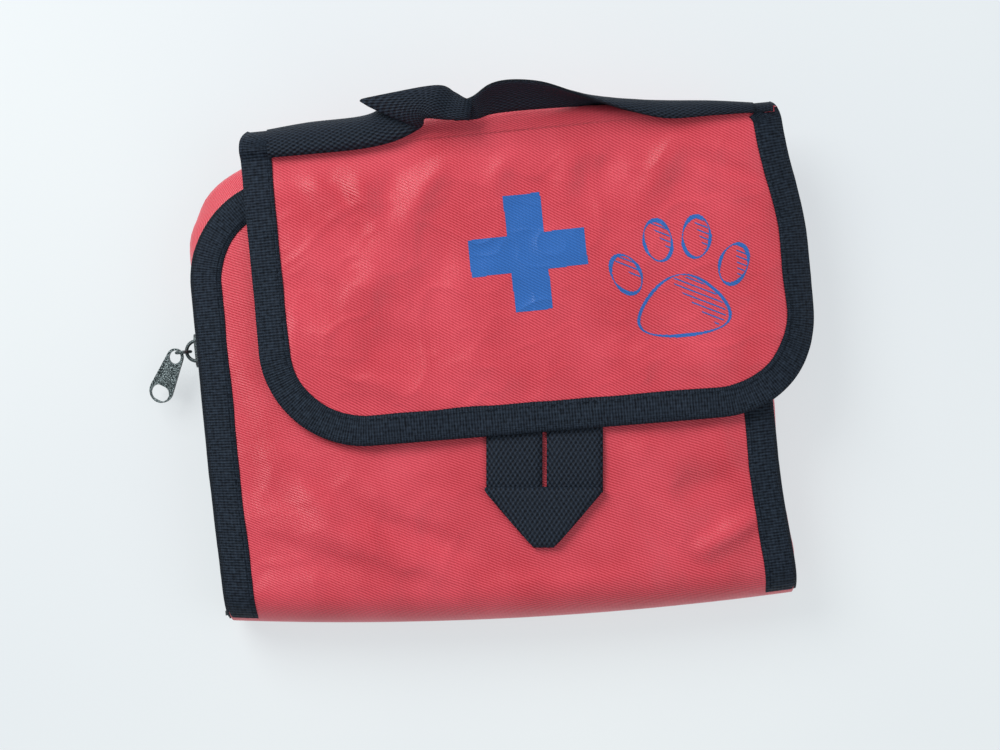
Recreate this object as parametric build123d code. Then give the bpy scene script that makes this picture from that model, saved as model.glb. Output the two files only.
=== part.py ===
"""First aid kit: a soft nylon pouch with a bound front flap, a webbing handle and a zipped side.

The pouch lies on its back. +X runs across it, +Y points to the handle, +Z up through its depth.
The origin is the middle of the back panel's outer face. All sizes are in millimetres.
"""

import math
import os

from build123d import *

# ---- pouch shell -------------------------------------------------------------------------
BODY_W = 250.0  # across the pouch
BODY_H = 212.0  # from the bottom fold to the top fold
DEPTH = 36.0  # height of the gusset walls
BACK_T = 1.5  # padded back panel
SHELL_T = 1.2  # coated nylon with its seam allowance
CORNER_TOP_LEFT = 40.0  # this corner has slumped inwards
CORNER_TOP_RIGHT = 15.0
CORNER_BOTTOM = 6.0
FRONT_TOP_Y = 84.0  # free top edge of the front panel, the lip of the mouth
LEFT = -BODY_W / 2
RIGHT = BODY_W / 2
BOTTOM = -BODY_H / 2
TOP = BODY_H / 2
FRONT_Z = DEPTH + SHELL_T  # outer face of the front panel

# ---- binding tape ------------------------------------------------------------------------
BINDING_T = 0.8
BINDING_W = 12.5  # half of a 25 mm tape folded over an edge
BINDING_SIDE = 3.2  # how far the front binding turns down over the gusset
BACK_BINDING_H = 9.0

# ---- flap --------------------------------------------------------------------------------
FLAP_W = 239.0
FLAP_X = 22.0  # the flap has slumped to the right of the pouch
FLAP_BOTTOM_Y = -30.0
FLAP_CORNER_LEFT = 30.0
FLAP_CORNER_RIGHT = 42.0
FLAP_Z = 40.0  # underside of the flap fabric
FOLD_Y = 97.6  # the flap bends here, just in front of the handle
FOLD_Z = FLAP_Z + SHELL_T / 2
FLAP_TOP_Y = FOLD_Y - 0.3
PRINT_T = 0.2
CROSS_SIZE = 51.0
CROSS_ARM = 16.0
CROSS_AT = (22.0, 48.0)
PAW_AT = (87.0, 27.0)
PAW_SIZE = 60.0

# ---- lid: the fabric over the open top, between the back panel and the flap ---------------
LID_FRONT_Y = FOLD_Y + 1.9
LID_BACK_Y = TOP + 0.6  # its outer face
LID_LOW_Z = 2.0
LID_HINGE_Y = TOP + 1.4
LID_HINGE_Z = BACK_T / 2

# ---- hook and loop closure ---------------------------------------------------------------
PATCH_W = 100.0
PATCH_H = 25.0
PATCH_T = 1.2
PATCH_AT = (17.0, 2.0)

# ---- pull tab: a webbing loop with a folded point ----------------------------------------
WEBBING_W = 25.0
WEBBING_T = 1.5
TAB_X = 21.0
TAB_SLIT = 1.6
TAB_Z = FRONT_Z + 0.5  # underside of the tab
TAB_HINGE_Y = FLAP_BOTTOM_Y - 2.2
TAB_FOLD_Y = -55.0  # where the strips fold over into the point
TAB_TIP_Y = -80.0
TAB_TIP_W = 10.0

# ---- carry handle ------------------------------------------------------------------------
HANDLE_LEFT = -86.0
HANDLE_RIGHT = 128.0
HANDLE_RISE = 14.0
HANDLE_LEAN = 60.0  # from straight out of the top, as when carried, to its rest over the fold
HANDLE_Y = 110.6
HANDLE_Z = 43.5
HANDLE_END_L = 10.0
HANDLE_END_T = 5.0  # folded under and stitched down

# ---- side zipper -------------------------------------------------------------------------
ZIP_Z = 14.0
ZIP_TOP = 31.0
ZIP_BOTTOM = -100.0
TAPE_T = 0.8
TAPE_HALF = 8.0  # visible tape on each side of the chain
ZIP_GAP = 1.4
TOOTH_PITCH = 2.0
TOOTH_L = 1.1
TOOTH_W = 3.2
TOOTH_T = 2.4
CHAIN_TOP = 27.5
CHAIN_BOTTOM = -96.5
STOP_L = 2.0

# ---- slider, ring and puller -------------------------------------------------------------
SLIDER_L = 15.0
SLIDER_W = 12.0
SLIDER_BOTTOM_Y = 12.5
PLATE_T = 1.4
POST_T = 0.8
BAIL_R = 4.5
BAIL_WIRE = 0.8
RING_R = 3.2
RING_WIRE = 0.7
LINK_GAP = 0.15
RING_DROOP = 15.0  # the ring's angle below level
PULLER_TURN = 60.0  # the puller's angle from straight out, towards the bottom of the pouch
PULLER_L = 26.0
PULLER_TOP_R = 3.9
PULLER_END_R = 5.7
PULLER_T = 1.4
PULLER_RIM = 1.0
PULLER_RECESS = 0.3
EYE_R = 2.95
END_HOLE_R = 3.4
END_HOLE_STRETCH = 2.2

# ---- contents ----------------------------------------------------------------------------
ROLL_R = 15.5
ROLL_Y = 63.0
ROLL_LIFT = 0.4
POCKET_W = 220.0
POCKET_TOP_Y = 30.0
POCKET_BOTTOM_Y = -100.0
POCKET_Z = 9.8
POCKET_T = 0.6
UPPER_Z = POCKET_Z + POCKET_T + 0.4

OUT = "parts"


def save(name, shape):
    """Writes one named piece."""
    export_step(shape, os.path.join(OUT, name + ".step"))


def group(solids):
    """Separate solids kept together under one name."""
    return Compound(children=list(solids))


def box(x0, x1, y0, y1, z0, z1):
    """A block between two corners."""
    size = Box(x1 - x0, y1 - y0, z1 - z0)
    return Pos((x0 + x1) / 2, (y0 + y1) / 2, (z0 + z1) / 2) * size


def slab(sketch, z0, z1):
    """A sketch raised from height z0 to z1."""
    return extrude(Pos(0, 0, z0) * sketch, z1 - z0)


def corner(sketch, x_sign, y_sign, radius):
    """Rounds the one corner of a sketch that lies furthest towards the given signs."""
    vertex = max(sketch.vertices(), key=lambda v: x_sign * v.X + y_sign * v.Y)
    return fillet([vertex], radius)


# ---- outlines ----------------------------------------------------------------------------
def body_outline(grow=0.0):
    """The pouch seen from the front, grown or shrunk all round."""
    sketch = Rectangle(BODY_W + 2 * grow, BODY_H + 2 * grow)
    sketch = corner(sketch, -1, 1, CORNER_TOP_LEFT + grow)
    sketch = corner(sketch, 1, 1, CORNER_TOP_RIGHT + grow)
    sketch = corner(sketch, -1, -1, CORNER_BOTTOM + grow)
    return corner(sketch, 1, -1, CORNER_BOTTOM + grow)


def front_outline(grow=0.0):
    """The front panel. It grows at its sides and its free top edge, never at the bottom fold."""
    height = FRONT_TOP_Y + grow - BOTTOM
    sketch = Pos(0, BOTTOM + height / 2) * Rectangle(BODY_W + 2 * grow, height)
    sketch = corner(sketch, -1, 1, CORNER_TOP_LEFT + grow)
    return corner(sketch, 1, 1, CORNER_TOP_RIGHT + grow)


def flap_outline(grow=0.0):
    """The flap. It grows at its sides and its lower edge, never at the hinge."""
    bottom = FLAP_BOTTOM_Y - grow
    height = FLAP_TOP_Y - bottom
    sketch = Pos(FLAP_X, bottom + height / 2) * Rectangle(FLAP_W + 2 * grow, height)
    sketch = corner(sketch, -1, -1, FLAP_CORNER_LEFT + grow)
    return corner(sketch, 1, -1, FLAP_CORNER_RIGHT + grow)


# ---- pouch shell -------------------------------------------------------------------------
def make_shell():
    save("back_panel", slab(body_outline(), 0, BACK_T))
    save("front_panel", slab(front_outline(), DEPTH, FRONT_Z))

    wall = slab(body_outline() - body_outline(-SHELL_T), BACK_T, DEPTH)
    left_x = LEFT + CORNER_TOP_LEFT
    right_x = RIGHT - CORNER_TOP_RIGHT
    low = BOTTOM + CORNER_BOTTOM
    save("bottom_panel", wall & box(LEFT, RIGHT, BOTTOM, low, 0, DEPTH))
    save("right_gusset", wall & (box(0, RIGHT, low, 0, 0, DEPTH) + box(right_x, RIGHT, 0, TOP, 0, DEPTH)))
    save("left_gusset_upper", wall & box(LEFT, left_x, ZIP_TOP, TOP, 0, DEPTH))

    side = wall & box(LEFT, left_x, low, ZIP_TOP, 0, DEPTH)
    save("left_gusset_front_strip", side & box(LEFT, 0, low, ZIP_TOP, ZIP_Z + TAPE_HALF, DEPTH))
    save("left_gusset_rear_strip", side & box(LEFT, 0, low, ZIP_TOP, 0, ZIP_Z - TAPE_HALF))


def make_shell_bindings():
    top_leg = front_outline(BINDING_T) - front_outline(-BINDING_W)
    side_leg = front_outline(BINDING_T) - front_outline()
    below_fold = box(LEFT * 2, RIGHT * 2, BOTTOM - 50, BOTTOM, 0, DEPTH * 2)
    inside = Pos(0, BOTTOM) * Rectangle(BODY_W - 2 * BINDING_W, 4 * BINDING_W)
    binding = slab(top_leg - inside, FRONT_Z, FRONT_Z + BINDING_T)
    binding += slab(side_leg, FRONT_Z - BINDING_SIDE, FRONT_Z)
    binding -= slab(body_outline() - body_outline(-SHELL_T), 0, DEPTH)
    save("front_binding", binding - below_fold)

    rim = slab(body_outline(BINDING_T) - body_outline(), BINDING_T / 2, BACK_BINDING_H)
    low = BOTTOM + CORNER_BOTTOM
    zip_room = box(LEFT * 2, LEFT, low, ZIP_TOP, ZIP_Z - TAPE_HALF, DEPTH)
    left_rim = rim & box(LEFT * 2, LEFT + CORNER_TOP_LEFT, low, TOP * 2, 0, DEPTH)
    save("back_binding_left", left_rim - zip_room)
    save("back_binding_right", rim & box(RIGHT - CORNER_TOP_RIGHT, RIGHT * 2, low, TOP * 2, 0, DEPTH))


# ---- flap and its trim -------------------------------------------------------------------
def cross_sketch():
    bars = Rectangle(CROSS_SIZE, CROSS_ARM) + Rectangle(CROSS_ARM, CROSS_SIZE)
    return Pos(*CROSS_AT) * bars


def paw_sketches():
    """A plain paw: one wide pad under four toes."""
    unit = PAW_SIZE / 10
    pad = Pos(0, -1.7 * unit) * Ellipse(3.1 * unit, 2.2 * unit)
    toes = []
    for x, y, lean in ((-3.9, 0.9, 24), (-1.4, 3.1, 8), (1.4, 3.1, -8), (3.9, 0.9, -24)):
        toes.append(Pos(x * unit, y * unit) * Rot(0, 0, lean) * Ellipse(unit, 1.5 * unit))
    return [Pos(*PAW_AT) * shape for shape in (pad, *toes)]


def make_flap():
    top = FLAP_Z + SHELL_T
    panel = slab(flap_outline(), FLAP_Z, top)
    save("flap_panel", panel)
    ring = flap_outline(BINDING_T) - flap_outline(-BINDING_W)
    mouth = Pos(FLAP_X, FLAP_TOP_Y) * Rectangle(FLAP_W - 2 * BINDING_W, 4 * BINDING_W)
    save("flap_binding", slab(ring - mouth, FLAP_Z - BINDING_T, top + BINDING_T) - panel)
    save("cross_print", slab(cross_sketch(), top, top + PRINT_T))
    save("paw_print", group(slab(s, top, top + PRINT_T) for s in paw_sketches()))


def make_lid():
    """The fabric that rises from the back panel and folds forward to meet the flap."""
    left_x = LEFT + CORNER_TOP_LEFT + 0.5
    right_x = RIGHT - CORNER_TOP_RIGHT - 0.5
    flap_left = FLAP_X - FLAP_W / 2
    flap_right = FLAP_X + FLAP_W / 2
    top = FLAP_Z + SHELL_T
    wall = box(left_x, right_x, LID_BACK_Y - SHELL_T, LID_BACK_Y, LID_LOW_Z, top)
    strip = box(flap_left, flap_right, LID_FRONT_Y, LID_BACK_Y, FLAP_Z, top)
    save("lid_panel", wall + strip)

    ends = []
    for edge, inward in ((flap_left, 1), (flap_right, -1)):
        x0, x1 = sorted((edge - inward * BINDING_T, edge + inward * BINDING_W))
        tape = box(x0, x1, LID_FRONT_Y, LID_BACK_Y + BINDING_T, FLAP_Z - BINDING_T, top + BINDING_T)
        ends.append(tape - wall - strip)
    save("lid_bindings", group(ends))
    return wall + strip + ends[0] + ends[1]


def make_closure():
    patch = Pos(*PATCH_AT) * RectangleRounded(PATCH_W, PATCH_H, 3)
    save("loop_patch", slab(patch, FRONT_Z, FRONT_Z + PATCH_T))
    save("hook_patch", slab(patch, FLAP_Z - PATCH_T, FLAP_Z))


def make_pull_tab():
    """Two strips side by side, folded across each other into a blunt point."""
    half = TAB_SLIT / 2 + WEBBING_W
    start = TAB_HINGE_Y - 0.4
    top = TAB_Z + WEBBING_T
    points = [
        (-half, TAB_FOLD_Y), (half, TAB_FOLD_Y), (TAB_TIP_W / 2, TAB_TIP_Y), (-TAB_TIP_W / 2, TAB_TIP_Y)
    ]
    point = Pos(TAB_X, 0) * make_face(Polyline(*points, close=True))
    strips = box(-half, half, TAB_FOLD_Y, start, TAB_Z, top)
    strips -= box(-TAB_SLIT / 2, TAB_SLIT / 2, TAB_FOLD_Y, start, TAB_Z, top)
    loop = Pos(TAB_X, 0, 0) * strips + slab(point, TAB_Z, top + WEBBING_T)
    save("pull_tab", loop)

    sewn_y = (FLAP_BOTTOM_Y - 0.6, FLAP_BOTTOM_Y + BINDING_W + 2)
    ends = [
        box(TAB_X + x0, TAB_X + x1, *sewn_y, TAB_Z, FLAP_Z - BINDING_T)
        for x0, x1 in ((-half, -TAB_SLIT / 2), (TAB_SLIT / 2, half))
    ]
    save("pull_tab_sewn_ends", group(ends))


# ---- handle ------------------------------------------------------------------------------
def handle_plane():
    """Its local X runs along the handle, Y the way the handle bows, Z across the webbing."""
    lean = math.radians(HANDLE_LEAN)
    across = (0, -math.sin(lean), math.cos(lean))
    return Plane(origin=(0, HANDLE_Y, HANDLE_Z), x_dir=(1, 0, 0), z_dir=across)


def bow(offset):
    """The handle's arc between its two ends, moved outwards by offset."""
    middle = (HANDLE_LEFT + HANDLE_RIGHT) / 2
    return ThreePointArc(
        (HANDLE_LEFT, offset), (middle, HANDLE_RISE + offset), (HANDLE_RIGHT, offset)
    )


def make_handle(lid):
    plane = handle_plane()
    outer = bow(WEBBING_T / 2)
    inner = bow(-WEBBING_T / 2)
    ends = [Line(inner @ 0, outer @ 0), Line(inner @ 1, outer @ 1)]
    profile = make_face([outer, inner, *ends])
    strap = extrude(profile, WEBBING_W / 2, both=True)
    save("handle_webbing", plane * strap)

    half = WEBBING_W / 2
    for name, x0, x1 in (
        ("handle_end_left", HANDLE_LEFT - HANDLE_END_L, HANDLE_LEFT - 0.5),
        ("handle_end_right", HANDLE_RIGHT + 0.5, HANDLE_RIGHT + HANDLE_END_L),
    ):
        end = plane * box(x0, x1, -HANDLE_END_T, WEBBING_T / 2, -half, half)
        raised_flap = box(x0, x1, FOLD_Y - 20, LID_FRONT_Y, FLAP_Z, HANDLE_Z + WEBBING_W)
        save(name, end - lid - raised_flap)


# ---- side zipper -------------------------------------------------------------------------
def make_zipper():
    x0, x1 = LEFT - TOOTH_T, LEFT
    count = int((CHAIN_TOP - CHAIN_BOTTOM) / TOOTH_PITCH)
    for side, sign in (("front", 1), ("rear", -1)):
        near = ZIP_Z + sign * ZIP_GAP / 2
        far = near + sign * TOOTH_W
        edge = ZIP_Z + sign * TAPE_HALF
        z0, z1 = sorted((near, edge))
        save(f"zipper_tape_{side}", box(LEFT, LEFT + TAPE_T, ZIP_BOTTOM, ZIP_TOP, z0, z1))
        z0, z1 = sorted((near, far))
        start = CHAIN_BOTTOM + (TOOTH_PITCH / 2 if sign < 0 else 0)
        rows = [start + n * TOOTH_PITCH for n in range(count)]
        save(f"zipper_coil_{side}", group(box(x0, x1, y, y + TOOTH_L, z0, z1) for y in rows))

    reach = ZIP_GAP / 2 + TOOTH_W
    stop_y = SLIDER_BOTTOM_Y + SLIDER_L + 0.6
    stops = [
        box(x0, x1, stop_y, stop_y + STOP_L, ZIP_Z + z0, ZIP_Z + z1)
        for z0, z1 in ((ZIP_GAP / 2, reach), (-reach, -ZIP_GAP / 2))
    ]
    save("zipper_top_stops", group(stops))
    low = CHAIN_BOTTOM - 0.5
    save("zipper_bottom_stop", box(x0, x1, low - STOP_L, low, ZIP_Z - reach, ZIP_Z + reach))


def slider_middle():
    return SLIDER_BOTTOM_Y + SLIDER_L / 2


def plate_face():
    """The outer face of the slider's outer plate."""
    return LEFT - TOOTH_T - 0.8 - PLATE_T


def make_slider():
    """Two plates joined by a post, which runs in the gap between the two rows of the coil."""
    middle = slider_middle()
    outer_x = plate_face()
    inner_x = LEFT + TAPE_T + 0.3
    shape = RectangleRounded(SLIDER_L, SLIDER_W, 3)
    lie = Pos(0, middle, ZIP_Z) * Rot(0, 90, 0) * Rot(0, 0, 90)
    outer = Pos(outer_x, 0, 0) * lie * extrude(shape, PLATE_T)
    inner = Pos(inner_x, 0, 0) * lie * extrude(shape, PLATE_T)
    post_top = SLIDER_BOTTOM_Y + SLIDER_L - 1
    post = box(outer_x + 0.5, inner_x + 0.5, post_top - 4, post_top, ZIP_Z - POST_T / 2, ZIP_Z + POST_T / 2)
    body = outer + inner + post
    for sign in (1, -1):
        z0, z1 = sorted((ZIP_Z + sign * (SLIDER_W / 2 - 1.2), ZIP_Z + sign * SLIDER_W / 2))
        flange = (outer_x + PLATE_T - 0.2, LEFT - 1, SLIDER_BOTTOM_Y + 3, post_top - 2, z0, z1)
        body += box(*flange)
    save("slider_body", body)

    arch = Torus(BAIL_R, BAIL_WIRE) & box(-20, 0, -20, 20, -5, 5)
    save("slider_bail", Pos(outer_x, middle, ZIP_Z) * arch)


def link_points():
    """The ring's hinge on the bail, its middle and the puller's hinge, with the ring's direction."""
    droop = math.radians(RING_DROOP)
    out = Vector(-math.cos(droop), 0, -math.sin(droop))
    hinge = Vector(plate_face() - BAIL_R, slider_middle(), ZIP_Z)
    offset = RING_R - RING_WIRE - BAIL_WIRE - LINK_GAP
    return hinge, hinge + out * offset, hinge + out * (offset + RING_R), out


def make_ring():
    middle = link_points()[1]
    ring = Rot(90, 0, 0) * Torus(RING_R, RING_WIRE)
    save("pull_ring", Pos(middle.X, middle.Y, middle.Z) * ring)


def puller_outline(inset=0.0):
    """A tapered tongue with round ends, its top end at the origin and its length along X."""
    top_r = PULLER_TOP_R - inset
    end_r = PULLER_END_R - inset
    end_x = PULLER_L - PULLER_END_R - PULLER_TOP_R
    return make_hull([*Circle(top_r).edges(), *(Pos(end_x, 0) * Circle(end_r)).edges()])


def make_puller():
    end_x = PULLER_L - PULLER_END_R - PULLER_TOP_R
    hole_x = end_x + PULLER_END_R - PULLER_RIM - END_HOLE_R
    end_hole = Pos(hole_x, 0) * Rot(0, 0, 90) * SlotCenterToCenter(END_HOLE_STRETCH, 2 * END_HOLE_R)
    holes = Circle(EYE_R) + end_hole
    plate = extrude(puller_outline() - holes, PULLER_T / 2, both=True)
    end_rim = Pos(hole_x, 0) * Rot(0, 0, 90) * SlotCenterToCenter(END_HOLE_STRETCH, 2 * END_HOLE_R + 1)
    recess = puller_outline(PULLER_RIM) - Circle(EYE_R + 0.9) - end_rim
    for side in (1, -1):
        level = side * (PULLER_T / 2 - PULLER_RECESS)
        plate -= extrude(Pos(0, 0, level) * recess, side * PULLER_RECESS)
    hinge, out = link_points()[2:]
    turn = math.radians(PULLER_TURN)
    along = out * math.cos(turn) + Vector(0, -math.sin(turn), 0)
    normal = Vector(out.Z, 0, -out.X)
    start = hinge + along * (EYE_R - RING_WIRE - LINK_GAP)
    save("puller", Plane(origin=start, x_dir=along, z_dir=normal) * plate)


# ---- contents ----------------------------------------------------------------------------
def pack(x, y, z, w, h, d, radius):
    """A soft packet with rounded edges, named by its middle and its lowest height."""
    solid = box(x - w / 2, x + w / 2, y - h / 2, y + h / 2, z, z + d)
    return fillet(solid.edges(), radius)


def roll(x0, x1, radius, core):
    """A rolled bandage lying along X, with a hole through its middle."""
    body = Cylinder(radius, x1 - x0)
    body = fillet(body.edges(), 1.2) - Cylinder(core, x1 - x0)
    return Pos((x0 + x1) / 2, ROLL_Y, BACK_T + ROLL_LIFT + radius) * Rot(0, 90, 0) * body


def stack(x, y, w, h, count, thick, fan):
    """Flat packets on each other, each moved a little from the one below it."""
    z = BACK_T + 0.2
    return group(
        pack(x + fan * n, y - fan * n, z + n * (thick + 0.05), w, h, thick, thick * 0.45)
        for n in range(count)
    )


def make_pocket():
    half = POCKET_W / 2
    sheet = box(-half, half, POCKET_BOTTOM_Y, POCKET_TOP_Y, POCKET_Z, POCKET_Z + POCKET_T)
    skirt = box(-half, half, POCKET_BOTTOM_Y, POCKET_TOP_Y, BACK_T, POCKET_Z)
    hollow = (POCKET_T - half, half - POCKET_T, POCKET_BOTTOM_Y + POCKET_T, POCKET_TOP_Y)
    skirt -= box(*hollow, BACK_T, POCKET_Z)
    save("inner_pocket", sheet + skirt)
    hem_top = POCKET_TOP_Y + 0.8
    rim = box(-half, half, POCKET_TOP_Y, hem_top, POCKET_Z - 1.2, POCKET_Z + POCKET_T)
    save("inner_pocket_hem", rim)


def make_contents():
    save("gauze_roll_wide", roll(-88, -13, ROLL_R, 2.2))
    save("cohesive_bandage", roll(-6, 44, ROLL_R, 4.0))
    save("gauze_roll_narrow", roll(52, 102, ROLL_R, 2.2))
    save("gauze_pads", stack(-60, -40, 90, 90, 5, 1.4, 1.0))
    save("antiseptic_wipes", stack(24, -40, 55, 75, 5, 1.4, -1.2))
    plasters = [pack(72 + 9 * n, -38, BACK_T + 0.2 + 1.1 * n, 19, 74, 1.0, 0.4) for n in range(3)]
    save("plaster_strips", group(plasters))
    save("triangular_bandage", pack(-57, -6, UPPER_Z, 106, 62, 18, 4))
    save("foil_blanket", pack(49, 2, UPPER_Z, 84, 48, 15, 3))
    save("glove_pack", pack(-55, -74, UPPER_Z, 104, 52, 10, 3))

    tape = Cylinder(22, 19) - Cylinder(14.2, 19)
    core = Cylinder(14.2, 19) - Cylinder(12.8, 19)
    seat = Pos(38, -62, UPPER_Z + 9.5)
    save("tape_roll", seat * tape)
    save("tape_core", seat * core)
    save("tweezers", make_tweezers())


def make_tweezers():
    """Two sprung legs that meet in a rounded back, open towards their tips."""
    back, tip, gap, width = 30.0, -62.0, 5.0, 8.0
    legs = []
    for side in (1, -1):
        points = [(0, back), (side * gap, back - 26), (side * 0.8, tip)]
        thick = [(x + side * 1.2, y) for x, y in reversed(points[1:])]
        legs.append(make_face(Polyline(*points, *thick, (side * 1.2, back), close=True)))
    shape = legs[0] + legs[1] + Pos(0, back) * Rectangle(2.4, 6)
    return Pos(100, -36, UPPER_Z) * extrude(shape, width)


def print_facts():
    """The joint places that the record states."""
    hinge, _, puller_hinge, out = link_points()
    print("ring hinge", tuple(round(v, 3) for v in hinge))
    print("puller hinge", tuple(round(v, 3) for v in puller_hinge))
    print("puller axis", (round(out.Z, 5), 0, round(-out.X, 5)))
    print("flap fold", FOLD_Y, FOLD_Z, "tab hinge", TAB_HINGE_Y, TAB_Z + WEBBING_T / 2)
    print("handle hinge", HANDLE_Y, HANDLE_Z, "slider travel", SLIDER_BOTTOM_Y - CHAIN_BOTTOM)


def main():
    os.makedirs(OUT, exist_ok=True)
    make_shell()
    make_shell_bindings()
    make_flap()
    lid = make_lid()
    make_closure()
    make_pull_tab()
    make_handle(lid)
    make_zipper()
    make_slider()
    make_ring()
    make_puller()
    make_pocket()
    make_contents()
    print_facts()


main()
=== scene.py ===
"""Looks of the first aid kit: a red nylon pouch lying on its back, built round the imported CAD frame.

Sizes in this file are in millimetres and become metres when a mesh is made. A mesh point is
(x, y, z, u, v), its place and then its place in the mesh's UV map.
"""

import math

import bmesh
import bpy
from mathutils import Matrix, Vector, noise


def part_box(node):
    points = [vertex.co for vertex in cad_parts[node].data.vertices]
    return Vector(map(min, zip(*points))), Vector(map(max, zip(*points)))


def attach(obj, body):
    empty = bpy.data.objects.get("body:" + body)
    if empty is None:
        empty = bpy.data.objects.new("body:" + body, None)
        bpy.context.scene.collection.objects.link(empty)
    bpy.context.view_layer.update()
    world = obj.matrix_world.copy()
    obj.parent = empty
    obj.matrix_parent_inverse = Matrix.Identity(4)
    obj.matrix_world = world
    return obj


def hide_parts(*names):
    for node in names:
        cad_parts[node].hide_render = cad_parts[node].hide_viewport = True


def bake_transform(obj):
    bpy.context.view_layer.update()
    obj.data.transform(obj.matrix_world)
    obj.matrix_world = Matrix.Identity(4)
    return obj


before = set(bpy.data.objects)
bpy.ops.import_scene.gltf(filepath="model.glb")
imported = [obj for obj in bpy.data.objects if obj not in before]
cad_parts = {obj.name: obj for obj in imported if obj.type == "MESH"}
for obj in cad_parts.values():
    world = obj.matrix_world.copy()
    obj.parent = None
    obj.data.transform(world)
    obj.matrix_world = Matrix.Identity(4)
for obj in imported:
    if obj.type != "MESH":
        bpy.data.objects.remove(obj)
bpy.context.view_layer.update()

MM = 0.001
UV = "metres"

# ---- sizes read from the frame ----
def box_mm(node):
    low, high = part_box(node)
    return low / MM, high / MM


BACK_LOW, BACK_HIGH = box_mm("back_panel")
FLAP_LOW, FLAP_HIGH = box_mm("flap_panel")
LID_LOW, LID_HIGH = box_mm("lid_panel")
LEFT, RIGHT = BACK_LOW.x, BACK_HIGH.x
BOTTOM, TOP = BACK_LOW.y, BACK_HIGH.y
MOUTH_Y = box_mm("front_panel")[1].y + 6  # under the flap the lip of the mouth is puffed up by the rolls
FLAP_MID_Z = (FLAP_LOW.z + FLAP_HIGH.z) / 2
FOLD_Y = 97.6
CLOTH_T = 0.8
EDGE_IN = 0.6  # the cloth ends this far inside the tape's outer edge
TAPE_W = 12.5
WEBBING_W = 25.0
STITCH_IN = TAPE_W - 2.0
STITCH_UP = 1.3
CORNER_LEFT = 43.0
CORNER_RIGHT = 15.0
BACK_CORNER_LEFT = 52.0
ZIP_Z = 14.0
ZIP_HALF_GAP = 7.4  # the gusset's cloth stops this far from the zipper's middle
ZIP_TOP = box_mm("zipper_tape_front")[1].y


# ---- small helpers ----
def smooth(t):
    t = max(0.0, min(1.0, t))
    return t * t * (3 - 2 * t)


def lerp(a, b, t):
    return a + (b - a) * t


def spread(a, b, count):
    return [lerp(a, b, n / (count - 1)) for n in range(count)]


def round_in(past, radius):
    """How far a rounded corner has turned in, this far past where it starts."""
    return radius - math.sqrt(max(0.0, radius ** 2 - past ** 2)) if past > 0 else 0.0


def unit(ax, ay, bx, by):
    length = math.hypot(bx - ax, by - ay) or 1.0
    return (bx - ax) / length, (by - ay) / length


def catmull(points, per_span):
    """A smooth line through the points, which are tuples of any one length."""
    ends = [points[0], *points, points[-1]]
    line = []
    for n in range(len(points) - 1):
        p0, p1, p2, p3 = ends[n:n + 4]
        for k in range(per_span):
            t = k / per_span
            line.append(tuple(
                0.5 * (2 * b + (c - a) * t + (2 * a - 5 * b + 4 * c - d) * t * t
                       + (3 * b - a - 3 * c + d) * t ** 3)
                for a, b, c, d in zip(p0, p1, p2, p3)
            ))
    line.append(tuple(points[-1]))
    return line


def place(name, data):
    obj = bpy.data.objects.new(name, data)
    bpy.context.scene.collection.objects.link(obj)
    return obj


def add_mesh(name, points, faces, body=None, stands_for=(), slot=None, material=None):
    mesh = bpy.data.meshes.new(name)
    mesh.from_pydata([Vector(p[:3]) * MM for p in points], [], faces)
    layer = mesh.uv_layers.new(name=UV)
    for loop in mesh.loops:
        u, v = points[loop.vertex_index][3:]
        layer.data[loop.index].uv = (u * MM, v * MM)
    mesh.polygons.foreach_set("use_smooth", [True] * len(mesh.polygons))
    obj = place(name, mesh)
    if material:
        mesh.materials.append(material)
    if stands_for:
        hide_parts(*stands_for)
    if body:
        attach(obj, body)
    return obj


def grid_faces(rows, columns, ring=False):
    faces = []
    for r in range(rows - 1):
        for c in range(columns - (0 if ring else 1)):
            d = (c + 1) % columns
            faces.append((r * columns + c, r * columns + d, (r + 1) * columns + d, (r + 1) * columns + c))
    return faces


def surface(name, rows, thick=CLOTH_T, **kind):
    """A cloth made of rows of points, given its thickness by a modifier."""
    points = [p for row in rows for p in row]
    obj = add_mesh(name, points, grid_faces(len(rows), len(rows[0])), **kind)
    solid = obj.modifiers.new("thickness", "SOLIDIFY")
    solid.thickness = thick * MM
    solid.offset = 0
    return obj


def tube(name, rings, **kind):
    """A closed solid made of rings of points, capped at both ends."""
    count = len(rings[0])
    points = [p for ring in rings for p in ring]
    faces = grid_faces(len(rings), count, ring=True)
    for end in (rings[0], rings[-1]):
        faces.append(tuple(range(len(points), len(points) + count)))
        points += end
    obj = add_mesh(name, points, faces, **kind)
    fix_normals(obj)
    return obj


def fix_normals(obj, join=0.0):
    work = bmesh.new()
    work.from_mesh(obj.data)
    if join:
        bmesh.ops.remove_doubles(work, verts=work.verts, dist=join * MM)
    bmesh.ops.recalc_face_normals(work, faces=work.faces)
    work.to_mesh(obj.data)
    work.free()


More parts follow.
